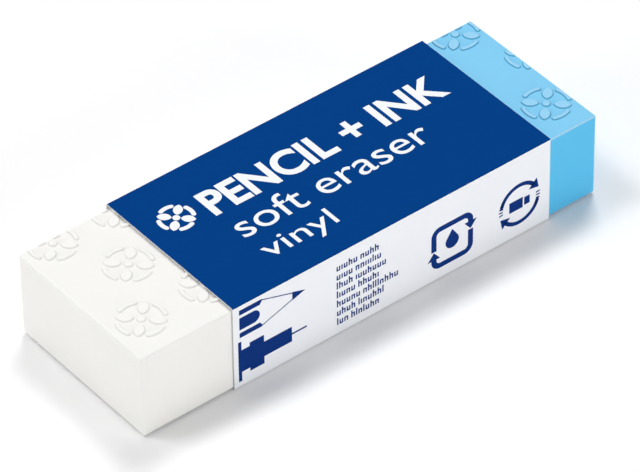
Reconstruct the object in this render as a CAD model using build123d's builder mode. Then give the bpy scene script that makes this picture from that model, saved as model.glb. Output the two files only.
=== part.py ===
"""Combination eraser: a soft vinyl block, white for pencil and blue for ink, in a folded card sleeve.

X runs along the block, from the pencil end at -X to the ink end at +X. Y runs across it and Z up.
The origin is at the middle of the footprint, on the surface that the sleeve lies on.
The block is a sliding fit in the sleeve, which is open at both ends.
"""

import os

from build123d import *

# --- Driving dimensions, in millimetres -------------------------------------------------------

block_length = 65.0
block_width = 22.3
block_height = 11.4  # without the relief
block_edge_radius = 0.25
ink_length = 22.0  # the blue section's share of the block

sleeve_length = 45.6
bare_pencil_end = 12.4  # white block that stands out of the sleeve
card_thickness = 0.16
fold_radius = 0.05  # inside each fold
glue_thickness = 0.03
flap_height = 9.5  # the inner flap, glued behind the back panel
back_panel_lift = 0.3  # from the surface to the back panel's free edge
glue_margin = 1.0  # bare card round the glue

slide_clearance = 0.04  # between the block and the card, on each side

relief_height = 0.2
motif_turn = 45.0  # of the first petal, from +X
petal_count = 4
petal_length = 2.3
petal_width = 1.5
petal_middle = 1.85  # from the motif's centre to the petal's
band_radius = 2.75  # centre line of the short bands between the petals
band_width = 0.75
band_angle = 42.0
button_radius = 0.6

row_pitch = 8.1  # between one row of motifs and the next
first_row = -6.0  # the front row, from the block's middle
row_shift = 4.4  # how much further along +X every second row starts
pencil_pitch = 8.8  # along a row, on the white section
pencil_first = 4.0  # from the white end to the first motif of the front row
ink_pitch = 13.4  # along a row, on the blue section
ink_first = 3.1  # from the blue end to the first motif of the front row

# --- Places worked out from them --------------------------------------------------------------

# The lap doubles the card behind the block, so the block stands a little forward of the middle.
lap_thickness = card_thickness + glue_thickness
middle_y = -lap_thickness / 2

block_bottom = card_thickness + slide_clearance
block_top = block_bottom + block_height
joint_x = block_length / 2 - ink_length

sleeve_start = bare_pencil_end - block_length / 2
inner_front = middle_y - block_width / 2 - slide_clearance
inner_back = middle_y + block_width / 2 + slide_clearance
inner_top = block_top + relief_height + slide_clearance
lap_inner = inner_back + lap_thickness
flap_top = card_thickness + flap_height


# --- The motif of the relief ------------------------------------------------------------------

with BuildSketch() as petal:
    with BuildLine():
        for side in (1, -1):
            ThreePointArc((-petal_length / 2, 0), (0, side * petal_width / 2), (petal_length / 2, 0))
    make_face()

with BuildLine() as band_line:
    CenterArc((0, 0), band_radius, -band_angle / 2, band_angle)

with BuildSketch() as motif:
    Circle(button_radius)
    with PolarLocations(petal_middle, petal_count, start_angle=motif_turn):
        add(petal.sketch)
    for gap in range(petal_count):
        between = motif_turn + (gap + 0.5) * 360 / petal_count
        SlotArc(band_line.edge(), band_width, rotation=between)


def row_places(end, first, pitch, reach):
    """Centres of the motifs, in rows that run inwards from one end of the block.

    end is -1 for the white end and 1 for the blue one, and reach is how far the rows run.
    """
    places = []
    for row in range(int(block_width / row_pitch) + 1):
        start = end * (block_length / 2 - first) + (row % 2) * row_shift
        for step in range(int(reach / pitch) + 1):
            places.append((start - end * step * pitch, middle_y + first_row + row * row_pitch))
    return places


def add_relief(start, stop, places):
    """Raises the motifs at these places from the flat of the block's top, between start and stop."""
    with BuildSketch(Plane.XY.offset(block_top)) as relief:
        with Locations(*places):
            add(motif.sketch)
        with Locations(((start + stop) / 2, middle_y)):
            Rectangle(stop - start, block_width - 2 * block_edge_radius, mode=Mode.INTERSECT)
    extrude(relief.sketch, amount=relief_height)


def add_block(start, stop):
    """A plain length of the block, between two places along X."""
    with BuildSketch(Plane.XY.offset(block_bottom)) as outline:
        with Locations(((start + stop) / 2, middle_y)):
            Rectangle(stop - start, block_width)
    extrude(outline.sketch, amount=block_height)


# --- White section, for pencil ----------------------------------------------------------------

with BuildPart() as pencil_section:
    add_block(-block_length / 2, joint_x)
    joint_edges = pencil_section.faces().sort_by(Axis.X)[-1].edges()
    fillet([edge for edge in pencil_section.edges() if edge not in joint_edges], block_edge_radius)
    add_relief(
        block_edge_radius - block_length / 2,
        joint_x,
        row_places(-1, pencil_first, pencil_pitch, block_length - ink_length),
    )
pencil_section.part.label = "pencil_section"

# --- Blue section, for ink --------------------------------------------------------------------

with BuildPart() as ink_section:
    add_block(joint_x, block_length / 2)
    joint_edges = ink_section.faces().sort_by(Axis.X)[0].edges()
    fillet([edge for edge in ink_section.edges() if edge not in joint_edges], block_edge_radius)
    add_relief(
        joint_x,
        block_length / 2 - block_edge_radius,
        row_places(1, ink_first, ink_pitch, ink_length),
    )
ink_section.part.label = "ink_section"

# --- Card sleeve ------------------------------------------------------------------------------

# One strip of card, from the flap behind the block, under it, up the front, over the top and
# down the back, where it is glued to the flap. The line is the middle of the card's thickness.
half_card = card_thickness / 2

with BuildPart() as card_sleeve:
    with BuildSketch(Plane.YZ.offset(sleeve_start)):
        with BuildLine():
            FilletPolyline(
                (inner_back + half_card, flap_top),
                (inner_back + half_card, half_card),
                (inner_front - half_card, half_card),
                (inner_front - half_card, inner_top + half_card),
                (lap_inner + half_card, inner_top + half_card),
                (lap_inner + half_card, back_panel_lift),
                radius=fold_radius + half_card,
            )
        trace(line_width=card_thickness)
    extrude(amount=sleeve_length)
    with BuildSketch(Plane.YZ.offset(sleeve_start + glue_margin)):
        glue_low = card_thickness + glue_margin
        glue_high = flap_top - glue_margin
        with Locations((lap_inner - glue_thickness / 2, (glue_low + glue_high) / 2)):
            Rectangle(glue_thickness, glue_high - glue_low)
    extrude(amount=sleeve_length - 2 * glue_margin)
card_sleeve.part.label = "card_sleeve"

# --- Export -----------------------------------------------------------------------------------

os.makedirs("parts", exist_ok=True)
for piece in (pencil_section, ink_section, card_sleeve):
    export_step(piece.part, f"parts/{piece.part.label}.step")
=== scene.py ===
"""A combination eraser in its card sleeve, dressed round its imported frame.

The block lies along X with its white end first, and its card sleeve is open at both ends. Each
operator in the sidebar makes one piece, or one group of like pieces, where the frame says.
Pieces are modelled in millimetres and scaled to metres when they are done.
"""

import random
from math import asin, cos, pi, radians, sin, tau
from types import SimpleNamespace

import bmesh
import bpy
from bpy.props import FloatProperty, FloatVectorProperty, IntProperty, PointerProperty, StringProperty
from mathutils import Matrix, Vector
from mathutils.geometry import delaunay_2d_cdt


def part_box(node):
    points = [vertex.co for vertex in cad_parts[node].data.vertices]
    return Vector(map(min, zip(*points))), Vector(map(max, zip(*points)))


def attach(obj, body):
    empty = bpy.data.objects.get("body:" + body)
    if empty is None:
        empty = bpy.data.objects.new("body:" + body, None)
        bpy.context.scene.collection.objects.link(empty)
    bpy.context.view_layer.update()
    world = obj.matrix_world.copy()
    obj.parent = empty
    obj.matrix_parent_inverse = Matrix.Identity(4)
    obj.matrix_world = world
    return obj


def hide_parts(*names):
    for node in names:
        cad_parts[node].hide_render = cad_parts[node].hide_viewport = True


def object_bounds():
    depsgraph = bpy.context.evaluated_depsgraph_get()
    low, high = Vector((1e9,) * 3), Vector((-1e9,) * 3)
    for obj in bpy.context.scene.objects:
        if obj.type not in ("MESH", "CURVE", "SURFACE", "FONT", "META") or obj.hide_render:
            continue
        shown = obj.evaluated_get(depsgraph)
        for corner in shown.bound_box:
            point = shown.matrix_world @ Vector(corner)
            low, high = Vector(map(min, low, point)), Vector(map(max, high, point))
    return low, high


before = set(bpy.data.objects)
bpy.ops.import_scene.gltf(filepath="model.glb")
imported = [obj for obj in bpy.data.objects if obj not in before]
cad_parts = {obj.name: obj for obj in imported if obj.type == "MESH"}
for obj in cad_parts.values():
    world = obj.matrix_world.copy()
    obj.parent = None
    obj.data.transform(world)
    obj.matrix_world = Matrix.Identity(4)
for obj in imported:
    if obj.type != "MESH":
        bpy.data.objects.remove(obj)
cad_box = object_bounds()

bl_info = {
    "name": "Combination Eraser",
    "version": (1, 0, 0),
    "blender": (4, 5, 0),
    "location": "View3D > Sidebar > Eraser",
    "description": "Models a two-colour block eraser in a printed card sleeve",
    "category": "Object",
}

MM = 0.001
MERGE = 0.001  # vertices this near, in millimetres, are one
TINY = 1e-5
WHOLE_HULL = 0  # what delaunay_2d_cdt is to fill


# --- Sizes and colours that a user would change -----------------------------------------------


def length(name, description, millimetres):
    """A property that holds a length."""
    return FloatProperty(name=name, description=description, default=millimetres * MM, unit="LENGTH")


def angle(name, description, degrees):
    """A property that holds an angle."""
    return FloatProperty(name=name, description=description, default=radians(degrees), unit="ROTATION")


def number(name, description, value):
    """A property that holds a plain number."""
    return FloatProperty(name=name, description=description, default=value)


def colour(name, description, red, green, blue):
    """A property that holds a colour, given as it looks, from 0 to 255."""
    linear = [((part / 255 + 0.055) / 1.055) ** 2.4 for part in (red, green, blue)]
    return FloatVectorProperty(
        name=name, description=description, default=linear, size=3, min=0, max=1, subtype="COLOR"
    )


class BlockSettings(bpy.types.PropertyGroup):
    """The vinyl block and the relief on its top."""

    edge_radius: length("Edge radius", "Rounding of the block's edges", 0.25)
    relief_height: length("Relief height", "How far the motifs stand up", 0.2)
    shoulder: length("Shoulder", "Width of the slope round each raised shape", 0.27)
    trim_margin: length("Trim margin", "Flat left between a cut-off motif and the edge's rounding", 0.05)
    motif_turn: angle("Motif turn", "Direction of the first petal", 45)
    petal_length: length("Petal length", "Length of a petal", 2.3)
    petal_width: length("Petal width", "Width of a petal", 1.5)
    petal_middle: length("Petal middle", "From the motif's centre to the petal's", 1.85)
    band_radius: length("Band radius", "Centre line of the bands between the petals", 2.75)
    band_width: length("Band width", "Width of a band", 0.75)
    band_angle: angle("Band angle", "How far a band runs round", 42)
    button_radius: length("Button radius", "The round in the motif's middle", 0.6)
    petals: IntProperty(name="Petals", description="Petals in a motif", default=4, min=2)
    row_pitch: length("Row pitch", "Between one row of motifs and the next", 8.1)
    first_row: length("First row", "The front row, from the block's middle", -6.0)
    row_shift: length("Row shift", "How much further along every second row starts", 4.4)
    pencil_pitch: length("Pencil pitch", "Between motifs on the white section", 8.8)
    pencil_first: length("Pencil first", "From the white end to the first motif", 4.0)
    ink_pitch: length("Ink pitch", "Between motifs on the blue section", 13.4)
    ink_first: length("Ink first", "From the blue end to the first motif", 3.1)
    white: colour("White vinyl", "Colour of the pencil section", 246, 245, 241)
    blue: colour("Blue vinyl", "Colour of the ink section", 88, 195, 241)
    # A painted sheen: how much white the blue top's colour takes, in place of a reflection
    painted_sheen: number("Painted sheen", "How pale a film lies on the blue top", 0.13)
    # Painted shade round the foot of the motifs, and a painted highlight on their crests
    white_shade: number("White shade", "Darkening round the white motifs", 0.45)
    blue_shade: number("Blue shade", "Darkening round the blue motifs", 1.0)
    painted_crest_highlight: number("Crest paleness", "Paleness of their tops", 0.26)
    # A painted highlight on the block's edges: how far it reaches and how pale it is
    highlight_reach: length("Highlight", "How far the rubbed edges reach", 0.28)
    highlight_paleness: number("Rub paleness", "Paleness of the rubbed edges", 0.55)
    grit: number("Grit", "Share of the surface with specks", 0.05)


class SleeveSettings(bpy.types.PropertyGroup):
    """The folded card sleeve."""

    card: length("Card", "Thickness of the card", 0.16)
    fold_radius: length("Fold radius", "Inside each fold", 0.05)
    flap_height: length("Flap height", "The inner flap, behind the back panel", 9.5)
    glue: length("Glue", "Thickness of the glue between flap and back panel", 0.03)
    back_lift: length("Back lift", "From the surface to the back panel's free edge", 0.3)
    cut_softness: length("Cut softness", "Rounding of the card's cut edges", 0.03)
    wrap: number("Wrap", "The dark field runs over folds up to this slope", 0.3)
    navy: colour("Printed field", "The top and underside", 0, 63, 133)
    coated: colour("Coated card", "The unprinted outside", 245, 247, 251)
    raw: colour("Raw card", "The inside and the cut edges", 228, 229, 229)


class PrintSettings(bpy.types.PropertyGroup):
    """The printing on the sleeve."""

    ink: length("Ink", "How far the printing stands proud", 0.012)
    sink: length("Sink", "How far the printing goes into the card", 0.01)
    hairline: length("Hairline", "The printing's thinnest line", 0.13)
    top_words: StringProperty(name="Bold line", description="The top's bold line", default="PENCIL + INK")
    middle_words: StringProperty(name="Light line", description="The line under it", default="soft eraser")
    low_words: StringProperty(name="Small line", description="The smallest line", default="vinyl")
    seed: IntProperty(name="Seed", description="Chooses the strokes of the small print", default=4)
    dark: colour("Side ink", "The printing on the white side", 7, 50, 122)
    light: colour("Top lettering", "The lettering on the dark field", 247, 249, 252)


class StageSettings(bpy.types.PropertyGroup):
    """The camera, the lamps and the floor."""

    azimuth: angle("Azimuth", "The way the camera looks, from +Y towards +X", 38.14)
    elevation: angle("Elevation", "How far the camera looks down", 41.0)
    roll: angle("Roll", "The camera's turn about its own line of sight", -0.82)
    distance: length("Distance", "From the camera to what it looks at", 626.7)
    focal: number("Focal length", "Lens, in millimetres", 311.2)
    aim_x: length("Aim X", "Where the camera looks, along the block from its middle", 1.72)
    aim_y: length("Aim Y", "Where the camera looks, across the block from its middle", 0.68)
    aim_z: length("Aim Z", "Where the camera looks, above the surface", 2.42)
    sky: number("Sky", "Strength of the light from all round", 0.28)
    key: number("Key", "Power of the high lamp, back right", 4.2)
    second: number("Second", "Power of the high lamp, back left", 3.1)
    front: number("Front", "Power of the lamp in front", 3.7)
    left: number("Left", "Power of the lamp beyond the white end", 2.33)
    lift: number("Floor lift", "Keeps the floor white where it is lit", 0.03)
    floor: colour("Floor", "The plain surface that the object lies on", 252, 252, 253)


def in_mm(group):
    """The group's values, with its lengths in millimetres."""
    values = {}
    for name in type(group).__annotations__:
        value = getattr(group, name)
        unit = getattr(group.bl_rna.properties[name], "unit", "NONE")
        values[name] = value / MM if unit == "LENGTH" else value
    return SimpleNamespace(**values)


def node_box(node):
    """The lowest and highest corners of a node of the frame, in millimetres."""
    low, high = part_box(node)
    return low / MM, high / MM


# --- Finishes ---------------------------------------------------------------------------------


class Value:
    """A socket that carries one number, on which an expression adds its Math nodes."""

    def __init__(self, nodes, socket):
        self.nodes = nodes
        self.socket = socket

    def maths(self, operation, *values):
        return self.nodes.node("ShaderNodeMath", {"operation": operation}, dict(enumerate(values)))

    def __add__(self, other):
        return self.maths("ADD", self, other)

    def __radd__(self, other):
        return self.maths("ADD", other, self)

    def __sub__(self, other):
        return self.maths("SUBTRACT", self, other)

    def __rsub__(self, other):
        return self.maths("SUBTRACT", other, self)

    def __mul__(self, other):
        return self.maths("MULTIPLY", self, other)

    def __rmul__(self, other):
        return self.maths("MULTIPLY", other, self)

    def __gt__(self, other):
        return self.maths("GREATER_THAN", self, other)


class Nodes:
    """A node tree whose nodes are added one at a time."""

    def __init__(self, tree):
        self.tree = tree

    def node(self, kind, settings=None, inputs=None, output=0):
        """Adds a node, with its settings first and then its sockets, and returns one of its outputs."""
        made = self.tree.nodes.new(kind)
        for setting, value in (settings or {}).items():
            if setting == "stops":
                self.set_stops(made.color_ramp, value)
            else:
                setattr(made, setting, value)
        for socket, value in (inputs or {}).items():
            self.feed(made.inputs[socket], value)
        return Value(self, made.outputs[output])

    def feed(self, socket, value):
        """Gives a socket a link or a plain value."""
        if isinstance(value, Value):
            self.tree.links.new(value.socket, socket)
        else:
            socket.default_value = value

    def set_stops(self, ramp, stops):
        """Sets a ramp from pairs of a place and a level."""
        while len(ramp.elements) < len(stops):
            ramp.elements.new(1)
        for element, (position, level) in zip(ramp.elements, stops):
            element.position = position
            element.color = (level, level, level, 1)


class Finish(Nodes):
    """A material with patterns measured in millimetres."""

    def __init__(self, name, constants):
        self.material = bpy.data.materials.new(name)
        self.material.use_nodes = True
        super().__init__(self.material.node_tree)
        self.shader = self.tree.nodes["Principled BSDF"]
        for socket, value in constants.items():
            self.shader.inputs[socket].default_value = value
        self.place = self.scaled_place()
        self.along, self.across, self.upright = (self.coordinate(axis) for axis in range(3))

    def scaled_place(self):
        """The place on the object, in millimetres."""
        place = self.node("ShaderNodeTexCoord", output="Object")
        return self.node("ShaderNodeVectorMath", {"operation": "SCALE"}, {0: place, "Scale": 1 / MM})

    def coordinate(self, axis):
        """The place along one axis."""
        return self.node("ShaderNodeSeparateXYZ", None, {0: self.place}, output=axis)

    def from_edges(self, low, high):
        """How far a place on a box's surface is from the nearest edge, in tens of millimetres."""
        near = []
        for place, first, last in zip((self.along, self.across, self.upright), low, high):
            near.append((place - first).maths("MINIMUM", place - first, last - place))
        nearest = near[0].maths("MINIMUM", near[0], near[1].maths("MINIMUM", near[1], near[2]))
        farthest = near[0].maths("MAXIMUM", near[0], near[1].maths("MAXIMUM", near[1], near[2]))
        return (near[0] + near[1] + near[2] - nearest - farthest) * 0.1

    def stretched(self, x, y, z):
        """The place, stretched along each axis, for patterns that aren't the same each way."""
        return self.node("ShaderNodeVectorMath", {"operation": "MULTIPLY"}, {0: self.place, 1: (x, y, z)})

    def noise(self, size, detail=2.0, roughness=0.5, place=None):
        """Soft noise whose lumps are about this many millimetres across, from 0 to 1."""
        inputs = {
            "Vector": place or self.place,
            "Scale": 1 / size,
            "Detail": detail,
            "Roughness": roughness,
        }
        return self.node("ShaderNodeTexNoise", None, inputs)

    def specks(self, size, share):
        """1 in small round specks that cover about this share of the surface, and 0 between them."""
        cells = self.node("ShaderNodeTexVoronoi", None, {"Vector": self.place, "Scale": 1 / size})
        return self.ramp(cells, ((share * 0.6, 1), (share, 0)))

    def ramp(self, value, stops):
        """The value sent through a ramp, from pairs of a place and a level."""
        return self.node("ShaderNodeValToRGB", {"stops": stops}, {"Fac": value})

    def mixed(self, amount, first, second):
        """A colour between two colours."""
        inputs = {0: amount, 6: self.as_colour(first), 7: self.as_colour(second)}
        return self.node("ShaderNodeMix", {"data_type": "RGBA"}, inputs, output=2)

    def as_colour(self, value):
        """A plain colour given its fourth number, or a link left as it is."""
        return value if isinstance(value, Value) else (*value, 1)

    def bump(self, height, distance, strength=1.0):
        """The normal of a surface with this height on it, in millimetres."""
        inputs = {"Height": height, "Distance": distance * MM, "Strength": strength}
        return self.node("ShaderNodeBump", None, inputs)

    def wear(self, **links):
        """Feeds the sockets that vary over the surface, and returns the material."""
        for socket, value in links.items():
            self.feed(self.shader.inputs[socket.replace("_", " ")], value)
        return self.material


def scaled(colour_value, factor):
    """A colour made lighter or darker."""
    return tuple(min(1.0, part * factor) for part in colour_value)


def vinyl_finish(name, vinyl):
    """Soft matte vinyl: slightly cloudy, with a fine skin; a painted sheen pales its flat top, painted
    shade darkens the foot of each raised shape, and painted highlights pale their crests and the block's
    edges.
    """
    finish = Finish(name, {"Specular IOR Level": 0.3})
    cloud = finish.noise(6.0, detail=3)
    skin = finish.noise(0.16, detail=3, roughness=0.6)
    lumps = finish.noise(1.4, detail=2)
    specks = finish.specks(0.5, vinyl.grit)
    above = finish.upright - vinyl.flat
    risen = above * (1 / vinyl.relief)
    # Painted shade darkens the foot of each slope; a painted highlight pales each crest
    shaded_foot = finish.ramp(risen, ((0.02, 0), (0.12, 1), (0.4, 1), (0.75, 0)))
    lit_crest = finish.ramp(risen, ((0.5, 0), (0.9, 1), (1, 0.4)))
    on_top = above > -TINY
    base = finish.mixed(cloud, scaled(vinyl.colour, 0.98), scaled(vinyl.colour, 1.02))
    base = finish.mixed(specks * 0.5, base, scaled(vinyl.colour, 0.82))
    # Painted sheen: white mixed into the top, standing in for a reflection of the light
    base = finish.mixed(on_top * vinyl.painted_sheen, base, (1, 1, 1))
    base = finish.mixed(on_top * shaded_foot * vinyl.foot_shade, base, scaled(vinyl.colour, 0.62))
    base = finish.mixed(on_top * lit_crest * vinyl.painted_crest_highlight, base, (1, 1, 1))
    # Painted highlight: the block's rounded edges made paler
    highlighted = finish.ramp(finish.from_edges(vinyl.low, vinyl.high), ((0, 1), (vinyl.highlight_reach / 10, 0)))
    base = finish.mixed(highlighted * (0.7 + cloud * 0.3) * vinyl.highlight_paleness, base, (1, 1, 1))
    return finish.wear(
        Base_Color=base,
        Roughness=0.5 + cloud * 0.12 + skin * 0.08,
        Normal=finish.bump(lumps * 0.6 + skin * 0.3, 0.02, 0.6),
    )


def card_finish(name, base_colour, roughness, fibre_depth, mottle, sheen):
    """Thin card: fibres that lie mostly along X, under whatever coats it."""
    finish = Finish(name, {"Specular IOR Level": sheen})
    fibres = finish.noise(0.12, detail=4, roughness=0.7, place=finish.stretched(0.35, 1, 1))
    blotches = finish.noise(3.0, detail=3)
    base = finish.mixed(blotches, scaled(base_colour, 1 - mottle), scaled(base_colour, 1 + mottle))
    return finish.wear(
        Base_Color=base,
        Roughness=roughness + fibres * 0.12,
        Normal=finish.bump(fibres, fibre_depth, 0.5),
    )


def cut_card_finish(name, base_colour):
    """The cut edge of card: pressed layers, darker where they part."""
    finish = Finish(name, {"Specular IOR Level": 0.2})
    layers = finish.noise(0.05, detail=3, roughness=0.7, place=finish.stretched(0.4, 1, 1))
    base = finish.mixed(layers, scaled(base_colour, 0.8), scaled(base_colour, 1.06))
    return finish.wear(Base_Color=base, Roughness=0.75 + layers * 0.15, Normal=finish.bump(layers, 0.02))


def ink_finish(name, ink_colour, roughness):
    """Printing ink on coated card, not quite even."""
    finish = Finish(name, {"Specular IOR Level": 0.03})
    grain = finish.noise(0.25, detail=3, roughness=0.6)
    base = finish.mixed(grain, scaled(ink_colour, 0.95), scaled(ink_colour, 1.04))
    return finish.wear(
        Base_Color=base, Roughness=roughness + grain * 0.1, Normal=finish.bump(grain, 0.003, 0.5)
    )


# --- Modelling helpers ------------------------------------------------------------------------


def draw_outline(bm, start, *steps):
    """Draws a closed outline in the XY plane from a starting point.

    A step is a point to go straight to, or an arc as (centre, angle), made by spinning the tip.
    """
    first = tip = bm.verts.new((*start, 0))
    for step in steps:
        if isinstance(step[0], (tuple, Vector)):
            centre, turn = step
            count = max(4, round(abs(turn) / radians(9)))
            spun = bmesh.ops.spin(
                bm, geom=[tip], cent=(*centre, 0), axis=(0, 0, 1), angle=turn, steps=count
            )
            tip = spun["geom_last"][0]
        else:
            moved = bm.verts.new((*step, 0))
            bm.edges.new((tip, moved))
            tip = moved
    if (tip.co - first.co).length > MERGE:
        bm.edges.new((tip, first))


def fill_outlines(bm):
    """Closes the outlines drawn so far and fills each with one face that looks up."""
    bmesh.ops.remove_doubles(bm, verts=bm.verts[:], dist=MERGE)
    bmesh.ops.edgeloop_fill(bm, edges=[edge for edge in bm.edges if edge.is_wire])
    bm.normal_update()
    bmesh.ops.reverse_faces(bm, faces=[face for face in bm.faces if face.normal.z < 0])


def fill_round_holes(bm, rim, holes):
    """Fills the flat inside an outer rim with triangles, except inside the outlines of the holes."""
    outlines = set(rim + holes)
    verts = list(dict.fromkeys(vert for edge in rim + holes for vert in edge.verts))
    number = {vert: index for index, vert in enumerate(verts)}
    ends = [(number[edge.verts[0]], number[edge.verts[1]]) for edge in rim + holes]
    filled = delaunay_2d_cdt([vert.co.xy for vert in verts], ends, [], WHOLE_HULL, TINY)
    triangles, sources = filled[2], filled[3]
    added = {bm.faces.new([verts[sources[corner][0]] for corner in triangle]) for triangle in triangles}
    outside = set()
    waiting = [face for edge in rim for face in edge.link_faces if face in added]
    while waiting:
        face = waiting.pop()
        outside.add(face)
        for edge in face.edges:
            if edge not in outlines:
                waiting += [other for other in edge.link_faces if other not in outside]
    bmesh.ops.delete(bm, geom=list(added - outside), context="FACES")


def verts_of(geometry):
    return [item for item in geometry if isinstance(item, bmesh.types.BMVert)]


def add_piece(bm, name, body, materials, sharp=radians(50)):
    """Turns a mesh drawn in millimetres into a piece that rides on a body of the frame."""
    bmesh.ops.scale(bm, vec=(MM, MM, MM), verts=bm.verts[:])
    bm.normal_update()
    for face in bm.faces:
        face.smooth = True
    for edge in bm.edges:
        edge.smooth = len(edge.link_faces) == 2 and edge.calc_face_angle(pi) < sharp
    mesh = bpy.data.meshes.new(name)
    bm.to_mesh(mesh)
    bm.free()
    for material in materials:
        mesh.materials.append(material)
    piece = bpy.data.objects.new(name, mesh)
    bpy.context.scene.collection.objects.link(piece)
    weighted = piece.modifiers.new("even shading", "WEIGHTED_NORMAL")
    weighted.keep_sharp = True
    weighted.weight = 100
    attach(piece, body)
    return piece


# --- The block --------------------------------------------------------------------------------


def place_drawn(bm, known, turn, place=(0, 0, 0)):
    """Turns what was drawn since known was taken about the origin, and moves it to its place."""
    drawn = [vert for vert in bm.verts if vert not in known]
    bmesh.ops.rotate(bm, verts=drawn, cent=(0, 0, 0), matrix=Matrix.Rotation(turn, 3, "Z"))
    bmesh.ops.translate(bm, verts=drawn, vec=place)


def draw_petal(bm, size, turn):
    """The outline of a petal: two arcs that meet in points, on a line from the motif's centre."""
    half = size.petal_length / 2
    rise = size.petal_width / 2
    radius = (half**2 + rise**2) / (2 * rise)
    sweep = 2 * asin(half / radius)
    middle = size.petal_middle
    known = set(bm.verts)
    draw_outline(
        bm, (middle + half, 0), ((middle, rise - radius), sweep), ((middle, radius - rise), sweep)
    )
    place_drawn(bm, known, turn)


def draw_band(bm, radius, width, sweep, turn):
    """The outline of a band round the centre with round ends, its middle in this direction."""
    start, stop = turn - sweep / 2, turn + sweep / 2
    outside = radius + width / 2
    first_end = (radius * cos(start), radius * sin(start))
    last_end = (radius * cos(stop), radius * sin(stop))
    draw_outline(
        bm,
        (outside * cos(start), outside * sin(start)),
        ((0, 0), sweep),
        (last_end, pi),
        ((0, 0), -sweep),
        (first_end, pi),
    )


def draw_motif(bm, size):
    """The flat outlines of one motif: a button, petals round it and bands between the petals."""
    draw_outline(bm, (size.button_radius, 0), ((0, 0), tau))
    for petal in range(size.petals):
        turn = size.motif_turn + petal * tau / size.petals
        draw_petal(bm, size, turn)
        draw_band(bm, size.band_radius, size.band_width, size.band_angle, turn + pi / size.petals)
    fill_outlines(bm)


def row_places(size, end, first, pitch, low, high):
    """Centres of the motifs, in rows that run inwards from one end of the block."""
    places = []
    end_x = low.x if end < 0 else high.x
    for row in range(int((high.y - low.y) / size.row_pitch) + 1):
        start = end_x - end * first + (row % 2) * size.row_shift
        y = (low.y + high.y) / 2 + size.first_row + row * size.row_pitch
        for step in range(int((high.x - low.x) / pitch) + 1):
            places.append((start - end * step * pitch, y, 0))
    return places


def raise_motif(bm, size):
    """Insets each face in steps whose heights follow a smooth shoulder."""
    faces = bm.faces[:]
    steps = 6
    risen = 0
    for step in range(1, steps + 1):
        height = size.relief_height * (1 - cos(pi * step / steps)) / 2
        bmesh.ops.inset_individual(
            bm, faces=faces, thickness=size.shoulder / steps, depth=height - risen, use_even_offset=True
        )
        risen = height


def cut_relief(bm, corner, axis):
    """Cuts the relief off straight, beyond a plane, and closes the cut with a wall to the flat."""
    geometry = bm.verts[:] + bm.edges[:] + bm.faces[:]
    cut = bmesh.ops.bisect_plane(
        bm, geom=geometry, dist=TINY, plane_co=corner, plane_no=axis, clear_outer=True
    )["geom_cut"]
    edges = [item for item in cut if isinstance(item, bmesh.types.BMEdge)]
    wall = bmesh.ops.extrude_edge_only(bm, edges=edges)["geom"]
    for vert in verts_of(wall):
        vert.co.z = 0
    bmesh.ops.remove_doubles(bm, verts=bm.verts[:], dist=MERGE)


def add_relief(bm, size, places, low, high):
    """Adds raised motifs at these places, cut off where the flat that they stand on ends.

    Returns the edges where they meet the flat.
    """
    relief = bmesh.new()
    draw_motif(relief, size)
    raise_motif(relief, size)
    motif = relief.verts[:] + relief.edges[:] + relief.faces[:]
    for place in places:
        copy = bmesh.ops.duplicate(relief, geom=motif)["geom"]
        bmesh.ops.translate(relief, verts=verts_of(copy), vec=place)
    bmesh.ops.delete(relief, geom=verts_of(motif), context="VERTS")
    for corner, outward in ((low, -1), (high, 1)):
        for axis in (Vector((1, 0, 0)), Vector((0, 1, 0))):
            cut_relief(relief, corner, axis * outward)
    bmesh.ops.translate(relief, verts=relief.verts[:], vec=(0, 0, high.z))
    mesh = bpy.data.meshes.new("relief")
    relief.to_mesh(mesh)
    relief.free()
    known = set(bm.edges)
    bm.from_mesh(mesh)
    bpy.data.meshes.remove(mesh)
    return [edge for edge in bm.edges if edge not in known and edge.is_boundary]


def block_section(size, node, end, first, pitch):
    """One section of the block, with rounded edges, a flat joint face and the relief on top.

    end is -1 where the section's free end faces -X, and 1 where it faces +X.
    """
    low, high = node_box(node)
    high.z -= size.relief_height
    bm = bmesh.new()
    place = Matrix.Translation((low + high) / 2) @ Matrix.Diagonal((*(high - low), 1))
    bmesh.ops.create_cube(bm, size=1, matrix=place)
    joint = min(bm.faces, key=lambda face: end * face.calc_center_median().x)
    rounded = [edge for edge in bm.edges if edge not in joint.edges[:]]
    bmesh.ops.bevel(
        bm, geom=rounded, offset=size.edge_radius, segments=6, profile=0.5, affect="EDGES", material=-1
    )
    top = max(bm.faces, key=lambda face: face.calc_center_median().z)
    flat_low = Vector([min(vert.co[axis] for vert in top.verts) for axis in range(3)])
    flat_high = Vector([max(vert.co[axis] for vert in top.verts) for axis in range(3)])
    margin = Vector((size.trim_margin, size.trim_margin, 0))
    places = row_places(size, end, first, pitch, low, high)
    rim = top.edges[:]
    bmesh.ops.delete(bm, geom=[top], context="FACES_ONLY")
    holes = add_relief(bm, size, places, flat_low + margin, flat_high - margin)
    fill_round_holes(bm, rim, holes)
    bmesh.ops.recalc_face_normals(bm, faces=bm.faces[:])
    if any(not edge.is_manifold for edge in bm.edges):
        raise RuntimeError(f"{node} isn't closed")
    return bm


def vinyl_settings(size, node, end, colour_value, painted_sheen, foot_shade):
    """What a section's finish needs to know; the joint gets no painted edge highlight."""
    low, high = node_box(node)
    flat = high.z - size.relief_height
    if end < 0:
        high.x += size.edge_radius * 10
    else:
        low.x -= size.edge_radius * 10
    high.z = flat
    return SimpleNamespace(
        colour=tuple(colour_value),
        low=low,
        high=high,
        flat=flat,
        relief=size.relief_height,
        painted_sheen=painted_sheen,
        foot_shade=foot_shade,
        painted_crest_highlight=size.painted_crest_highlight,
        highlight_reach=size.highlight_reach,
        highlight_paleness=size.highlight_paleness,
        grit=size.grit,
    )


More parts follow.
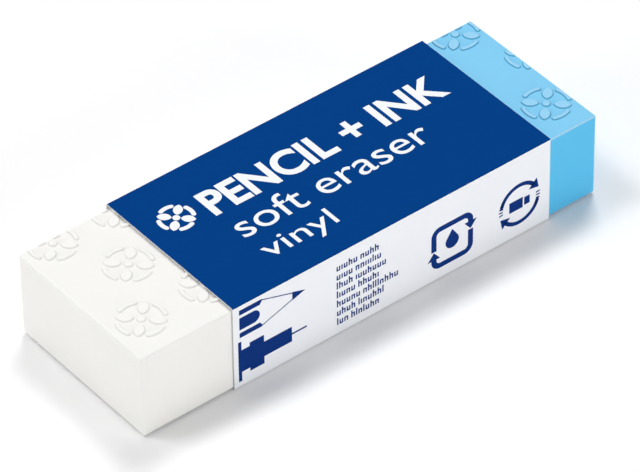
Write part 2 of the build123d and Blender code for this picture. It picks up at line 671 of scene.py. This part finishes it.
class ERASER_OT_pencil_section(bpy.types.Operator):
    """Model the white section of the block, for pencil"""

    bl_idname = "eraser.pencil_section"
    bl_label = "White Section"

    def execute(self, context):
        size = in_mm(context.scene.eraser_block)
        bm = block_section(size, "pencil_section", -1, size.pencil_first, size.pencil_pitch)
        look = vinyl_settings(size, "pencil_section", -1, size.white, 0, size.white_shade)
        vinyl = vinyl_finish("white vinyl", look)
        piece = add_piece(bm, "white_block", "eraser", [vinyl])
        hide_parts("pencil_section")
        return {"FINISHED"}


class ERASER_OT_ink_section(bpy.types.Operator):
    """Model the light blue section of the block, for ink"""

    bl_idname = "eraser.ink_section"
    bl_label = "Blue Section"

    def execute(self, context):
        size = in_mm(context.scene.eraser_block)
        bm = block_section(size, "ink_section", 1, size.ink_first, size.ink_pitch)
        look = vinyl_settings(size, "ink_section", 1, size.blue, size.painted_sheen, size.blue_shade)
        vinyl = vinyl_finish("blue vinyl", look)
        piece = add_piece(bm, "blue_block", "eraser", [vinyl])
        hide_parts("ink_section")
        return {"FINISHED"}


# --- The sleeve -------------------------------------------------------------------------------

NAVY, COATED, INSIDE, CUT = range(4)


def sleeve_section(size, low, high):
    """Corners of the card's outer face, from the inner flap round to the back panel's free edge."""
    back = high.y
    flap = back - size.card - size.glue
    return [
        (flap, low.z + size.card + size.flap_height),
        (flap, low.z),
        (low.y, low.z),
        (low.y, high.z),
        (back, high.z),
        (back, low.z + size.back_lift),
    ]


class ERASER_OT_sleeve(bpy.types.Operator):
    """Fold the card sleeve, with its glued lap at the back"""

    bl_idname = "eraser.sleeve"
    bl_label = "Card Sleeve"

    def execute(self, context):
        size = in_mm(context.scene.eraser_sleeve)
        low, high = node_box("card_sleeve")
        bm = bmesh.new()
        corners = [bm.verts.new((low.x, y, z)) for y, z in sleeve_section(size, low, high)]
        strip = [bm.edges.new(pair) for pair in zip(corners, corners[1:])]
        drawn = bmesh.ops.extrude_edge_only(bm, edges=strip)["geom"]
        bmesh.ops.translate(bm, verts=verts_of(drawn), vec=(high.x - low.x, 0, 0))
        bmesh.ops.recalc_face_normals(bm, faces=bm.faces[:])
        folds = [edge for edge in bm.edges if len(edge.link_faces) == 2]
        bmesh.ops.bevel(
            bm,
            geom=folds,
            offset=size.fold_radius + size.card,
            segments=10,
            profile=0.5,
            affect="EDGES",
            material=-1,
        )
        bm.normal_update()
        top = max(bm.faces, key=lambda face: face.calc_center_median().z)
        if top.normal.z < 0:
            bmesh.ops.reverse_faces(bm, faces=bm.faces[:])
        for face in bm.faces:
            printed = face.normal.z > size.wrap or face.normal.z < -0.95
            face.material_index = NAVY if printed else COATED
        outside = set(bm.faces)
        bmesh.ops.solidify(bm, geom=bm.faces[:], thickness=size.card)
        bm.normal_update()
        for face in bm.faces:
            if face not in outside:
                face.material_index = INSIDE
        ends = [edge for edge in bm.edges if edge.calc_face_angle(0) > radians(60)]
        across = [edge for edge in bm.edges if abs(edge.calc_length() - size.card) < MERGE]
        for face in {face for edge in across for face in edge.link_faces}:
            face.material_index = CUT
        bmesh.ops.bevel(
            bm,
            geom=ends,
            offset=size.cut_softness,
            segments=2,
            profile=0.5,
            affect="EDGES",
            material=CUT,
        )
        materials = [
            card_finish("printed navy", tuple(size.navy), 0.5, 0.004, 0.02, 0.008),
            card_finish("coated card", tuple(size.coated), 0.42, 0.004, 0.008, 0.2),
            card_finish("card inside", tuple(size.raw), 0.75, 0.02, 0.03, 0.2),
            cut_card_finish("cut card", tuple(size.raw)),
        ]
        piece = add_piece(bm, "sleeve", "sleeve", materials)
        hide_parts("card_sleeve")
        return {"FINISHED"}


# --- The printing -----------------------------------------------------------------------------


def draw_rectangle(bm, left, low, right, high):
    draw_outline(bm, (left, low), (right, low), (right, high), (left, high))


def draw_line(bm, start, stop, width):
    """A straight line of this width."""
    start, stop = Vector(start), Vector(stop)
    side = (stop - start).orthogonal().normalized() * width / 2
    draw_outline(bm, start + side, tuple(start - side), tuple(stop - side), tuple(stop + side))


def printed_panel(side):
    """Turns a drawing, in millimetres from the sleeve's white end, onto a panel of the sleeve."""
    low, high = node_box("card_sleeve")
    if side == "top":
        return Matrix.Translation((low.x, (low.y + high.y) / 2, high.z))
    return Matrix.Translation((low.x, low.y, low.z)) @ Matrix.Rotation(pi / 2, 4, "X")


def add_print(bm, name, side, material, size):
    """Gives filled outlines the thickness of ink and lays them on a panel."""
    bmesh.ops.translate(bm, verts=bm.verts[:], vec=(0, 0, -size.sink))
    raised = bmesh.ops.extrude_face_region(bm, geom=bm.faces[:])["geom"]
    bmesh.ops.translate(bm, verts=verts_of(raised), vec=(0, 0, size.ink + size.sink))
    bmesh.ops.recalc_face_normals(bm, faces=bm.faces[:])
    bmesh.ops.transform(bm, matrix=printed_panel(side), verts=bm.verts[:])
    return add_piece(bm, name, "sleeve", [material])


def word_mesh(words, boldness):
    """The words as a flat mesh, one unit high."""
    text = bpy.data.curves.new("words", "FONT")
    text.body = words
    text.offset = boldness
    text.resolution_u = 8
    holder = bpy.data.objects.new("words", text)
    bpy.context.scene.collection.objects.link(holder)
    bpy.context.view_layer.update()
    mesh = bpy.data.meshes.new_from_object(holder.evaluated_get(bpy.context.evaluated_depsgraph_get()))
    bpy.data.objects.remove(holder)
    bpy.data.curves.remove(text)
    return mesh


def add_words(bm, words, corner, span, capital, boldness):
    """Adds words whose first letter starts at a corner, as long as span, with capitals this high."""
    measure = word_mesh("H", boldness)
    tall = max(vert.co.y for vert in measure.vertices)
    bpy.data.meshes.remove(measure)
    mesh = word_mesh(words, boldness)
    left = min(vert.co.x for vert in mesh.vertices)
    right = max(vert.co.x for vert in mesh.vertices)
    fit = Matrix.Diagonal((span / (right - left), capital / tall, 1, 1))
    mesh.transform(Matrix.Translation((*corner, 0)) @ fit @ Matrix.Translation((-left, 0, 0)))
    bm.from_mesh(mesh)
    bpy.data.meshes.remove(mesh)


class ERASER_OT_top_print(bpy.types.Operator):
    """Print the plain lettering and the round badge on the sleeve's top"""

    bl_idname = "eraser.top_print"
    bl_label = "Top Printing"

    def execute(self, context):
        size = in_mm(context.scene.eraser_print)
        block = in_mm(context.scene.eraser_block)
        white = ink_finish("white ink", tuple(size.light), 0.35)
        words = bmesh.new()
        add_words(words, size.top_words, (8.25, 2.15), 33.9, 4.1, 0.03)
        add_words(words, size.middle_words, (8.45, -3.05), 27.2, 3.75, 0.0)
        add_words(words, size.low_words, (8.45, -7.4), 9.9, 2.8, 0.0)
        add_print(words, "top_words", "top", white, size)
        badge = bmesh.new()
        draw_motif(badge, block)
        bmesh.ops.scale(badge, vec=(0.74, 0.74, 1), verts=badge.verts[:])
        bmesh.ops.translate(badge, vec=(4.6, 4.55, 0), verts=badge.verts[:])
        add_print(badge, "top_badge", "top", white, size)
        return {"FINISHED"}


def draw_pencil_tip(bm, hairline):
    """A pencil's end from the side: three facets, the outline of its cone and a solid point."""
    left, shoulder, lead, tip = 0.9, 4.05, 8.3, 10.1
    axis, half, facet, middle_half, slant = 9.25, 2.0, 0.7, 0.87, 0.3
    point_half = half * (tip - lead) / (tip - shoulder)
    for way in (1, -1):
        edge, inner = axis + way * half, axis + way * (half - facet)
        bend = (shoulder, inner + way * (facet - slant))
        draw_outline(bm, (left, edge), (shoulder, edge), bend, (shoulder - slant, inner), (left, inner))
        inset = way * hairline
        draw_line(bm, (shoulder, edge - inset), (lead, axis + way * point_half - inset), hairline)
    round_start = shoulder - slant - middle_half
    draw_outline(
        bm,
        (left, axis - middle_half),
        (round_start, axis - middle_half),
        ((round_start, axis), pi),
        (left, axis + middle_half),
    )
    draw_outline(bm, (lead, axis - point_half), (tip, axis), (lead, axis + point_half))


def draw_pen_tip(bm, hairline):
    """A technical pen's end from the side, as a stepped outline, and its needle."""
    axis = 3.75
    profile = (
        (0.65, 2.9),
        (1.1, 2.9),
        (1.1, 1.6),
        (2.25, 1.6),
        (2.25, 2.1),
        (4.25, 2.1),
        (4.25, 1.08),
        (8.15, 1.08),
    )
    upper = [(along, axis + half) for along, half in profile]
    lower = [(along, axis - half) for along, half in reversed(profile)]
    draw_outline(bm, *upper, *lower)
    draw_line(bm, (8.15, axis), (10.25, axis), hairline * 1.8)


def draw_sign(bm, kind, left, base, stroke, wide, top, stem):
    """A stroke shape the size of a small letter, which is no letter: an arch, a cup or a post."""
    right = left + wide
    if kind == "arch":
        outside = (left, stem), (left + stroke, stem), (left + stroke, top), (right, top), (right, base)
        inside = (right - stroke, base), (right - stroke, top - stroke), (left + stroke, top - stroke)
        draw_outline(bm, (left, base), *outside, *inside, (left + stroke, base))
    elif kind == "cup":
        inside = (left + stroke, top), (left + stroke, base + stroke), (right - stroke, base + stroke)
        last = (right - stroke, top), (right, top), (right, base)
        draw_outline(bm, (left, base), (left, top), *inside, *last)
    else:
        draw_rectangle(bm, left, base, left + stroke, stem)


def draw_small_print(bm, chance, left, low, pitch, lines, span):
    """Lines of strokes as fine as small print, which spell nothing; the third is longer."""
    stroke, wide, short, tall, gap = 0.18, 0.53, 0.66, 1.0, 0.16
    for row in range(lines):
        base = low + row * pitch
        reach = span if row == 2 else span * chance.uniform(0.62, 0.78)
        along, signs, word = left, 0, chance.randint(3, 5)
        while along < left + reach:
            kind = chance.choice(("arch", "cup", "post"))
            stem = base + chance.choice((short, tall))
            draw_sign(bm, kind, along, base, stroke, wide, base + short, stem)
            along += gap + (stroke if kind == "post" else wide)
            signs += 1
            if signs == word:
                along += 0.3


def draw_square_loop(bm, place, half, corner, width):
    """Two bands with arrows that chase each other round a rounded square, and a drop in it."""
    known = set(bm.verts)
    inner, straight, tail, head = half - width, half - corner, -0.1 * half, 0.5 * half
    for turn in (0, pi):
        since = set(bm.verts)
        draw_outline(
            bm,
            (-half, tail),
            (-half, straight),
            ((-straight, straight), -pi / 2),
            (straight, half),
            ((straight, straight), -pi / 2),
            (half, head),
            (half + width * 0.7, head),
            (half - width / 2, head - width * 1.5),
            (inner - width * 0.7, head),
            (inner, head),
            (inner, straight),
            ((straight, straight), pi / 2),
            (-straight, inner),
            ((-straight, straight), pi / 2),
            (-inner, tail),
        )
        place_drawn(bm, since, turn)
    drop, rise = half * 0.32, half * 0.58
    lean = asin(drop / rise)
    start = (drop * cos(lean), drop * sin(lean))
    draw_outline(bm, start, (0, rise), (-start[0], start[1]), ((0, 0), pi + 2 * lean))
    place_drawn(bm, known, 0, place)


def draw_round_loop(bm, place, radius, width):
    """Two bands with arrows that chase each other round a ring of ticks, and a small block in it."""
    known = set(bm.verts)
    middle, sweep, reach = radians(104), radians(118), width * 1.5
    for turn in (0, pi):
        since = set(bm.verts)
        draw_outline(bm, (radius + reach, 0), (radius, -reach * 1.5), (radius - reach, 0))
        place_drawn(bm, since, middle - sweep / 2)
        draw_band(bm, radius, width, sweep, middle)
        for tick in range(5):
            outward = Vector((cos(radians(8 - 9 * tick)), sin(radians(8 - 9 * tick))))
            draw_line(bm, outward * (radius - width / 2), outward * (radius + width / 2), width * 0.35)
        place_drawn(bm, since, turn)
    block = radius * 0.5
    draw_rectangle(bm, -block * 1.1, -block * 0.55, block * 0.35, block * 0.55)
    draw_rectangle(bm, block * 0.5, -block * 0.42, block * 1.1, block * 0.42)
    place_drawn(bm, known, 0, place)


class ERASER_OT_side_print(bpy.types.Operator):
    """Print the pictograms, the small print and the loops on the sleeve's white side"""

    bl_idname = "eraser.side_print"
    bl_label = "Side Printing"

    def execute(self, context):
        size = in_mm(context.scene.eraser_print)
        dark = ink_finish("dark ink", tuple(size.dark), 0.4)
        tips = bmesh.new()
        draw_pencil_tip(tips, size.hairline)
        draw_pen_tip(tips, size.hairline)
        fill_outlines(tips)
        add_print(tips, "tip_pictograms", "side", dark, size)
        small = bmesh.new()
        draw_small_print(small, random.Random(size.seed), 14.55, 1.4, 1.32, 7, 8.7)
        fill_outlines(small)
        add_print(small, "small_print", "side", dark, size)
        loops = bmesh.new()
        draw_square_loop(loops, (31.2, 4.7, 0), 3.05, 1.3, 0.75)
        draw_round_loop(loops, (41.1, 4.8, 0), 2.75, 0.55)
        fill_outlines(loops)
        add_print(loops, "loop_pictograms", "side", dark, size)
        return {"FINISHED"}


# --- The stage --------------------------------------------------------------------------------


def add_lamp(name, power, size, place):
    """A soft square lamp that shines at the object."""
    light = bpy.data.lights.new(name, "AREA")
    light.energy = power
    light.size = size
    lamp = bpy.data.objects.new(name, light)
    bpy.context.scene.collection.objects.link(lamp)
    lamp.location = place
    lamp.rotation_euler = (-lamp.location).to_track_quat("-Z", "Y").to_euler()


def add_camera(stage, low, high):
    """The camera, with a long lens from the white end's front corner."""
    middle = (low + high) / 2
    aim = Vector((middle.x + stage.aim_x, middle.y + stage.aim_y, low.z + stage.aim_z)) * MM
    flat = cos(stage.elevation)
    back = Vector((-sin(stage.azimuth) * flat, -cos(stage.azimuth) * flat, sin(stage.elevation)))
    camera = bpy.data.objects.new("camera", bpy.data.cameras.new("camera"))
    bpy.context.scene.collection.objects.link(camera)
    camera.data.lens = stage.focal
    camera.data.sensor_width = 36
    camera.location = aim + back * stage.distance * MM
    look = (-back).to_track_quat("-Z", "Y").to_matrix().to_4x4()
    camera.matrix_world = Matrix.Translation(camera.location) @ look @ Matrix.Rotation(stage.roll, 4, "Z")
    bpy.context.scene.camera = camera


class ERASER_OT_stage(bpy.types.Operator):
    """Set up the floor, the lamps, the sky and the camera"""

    bl_idname = "eraser.stage"
    bl_label = "Stage"

    def execute(self, context):
        scene = context.scene
        stage = in_mm(scene.eraser_stage)
        low, high = (Vector(corner) / MM for corner in cad_box)
        add_camera(stage, low, high)
        floor_bm = bmesh.new()
        bmesh.ops.create_grid(floor_bm, x_segments=1, y_segments=1, size=3)
        floor_mesh = bpy.data.meshes.new("floor")
        floor_bm.to_mesh(floor_mesh)
        floor_bm.free()
        floor = bpy.data.objects.new("floor", floor_mesh)
        scene.collection.objects.link(floor)
        floor.location.z = (low.z - 0.05) * MM
        constants = {
            "Base Color": (*stage.floor, 1),
            "Roughness": 0.9,
            "Specular IOR Level": 0.0,
            "Emission Strength": 1.0,
        }
        finish = Finish("floor", constants)
        seen = finish.node("ShaderNodeLightPath", output="Is Camera Ray")
        lift = finish.mixed(seen, (0, 0, 0), (stage.lift,) * 3)
        floor_mesh.materials.append(finish.wear(Emission_Color=lift))
        add_lamp("key lamp", stage.key, 0.3, (0.36, 0.33, 0.9))
        add_lamp("second lamp", stage.second, 0.3, (-0.36, 0.33, 0.9))
        add_lamp("front lamp", stage.front, 0.5, (0.25, -0.94, 0.22))
        add_lamp("left lamp", stage.left, 0.5, (-0.94, 0.22, 0.25))
        world = bpy.data.worlds.new("sky")
        world.use_nodes = True
        scene.world = world
        background = world.node_tree.nodes["Background"]
        background.inputs["Color"].default_value = (1, 1, 1, 1)
        sky = Nodes(world.node_tree)
        seen = sky.node("ShaderNodeLightPath", output="Is Camera Ray")
        sky.feed(background.inputs["Strength"], stage.sky + seen * (1 - stage.sky))
        scene.view_settings.view_transform = "Standard"
        return {"FINISHED"}


# --- The add-on -------------------------------------------------------------------------------

STEPS = (
    ERASER_OT_stage,
    ERASER_OT_pencil_section,
    ERASER_OT_ink_section,
    ERASER_OT_sleeve,
    ERASER_OT_top_print,
    ERASER_OT_side_print,
)


class ERASER_PT_panel(bpy.types.Panel):
    """The steps that make the eraser, in order"""

    bl_label = "Combination Eraser"
    bl_idname = "ERASER_PT_panel"
    bl_space_type = "VIEW_3D"
    bl_region_type = "UI"
    bl_category = "Eraser"

    def draw(self, context):
        for step in STEPS:
            self.layout.operator(step.bl_idname)


GROUPS = {
    "eraser_block": BlockSettings,
    "eraser_sleeve": SleeveSettings,
    "eraser_print": PrintSettings,
    "eraser_stage": StageSettings,
}
CLASSES = (*GROUPS.values(), *STEPS, ERASER_PT_panel)


def register():
    for cls in CLASSES:
        bpy.utils.register_class(cls)
    for name, group in GROUPS.items():
        setattr(bpy.types.Scene, name, PointerProperty(type=group))


def unregister():
    for name in GROUPS:
        delattr(bpy.types.Scene, name)
    for cls in reversed(CLASSES):
        bpy.utils.unregister_class(cls)


def main():
    register()
    bpy.ops.eraser.stage()
    bpy.ops.eraser.pencil_section()
    bpy.ops.eraser.ink_section()
    bpy.ops.eraser.sleeve()
    bpy.ops.eraser.top_print()
    bpy.ops.eraser.side_print()


if __name__ == "__main__":
    main()
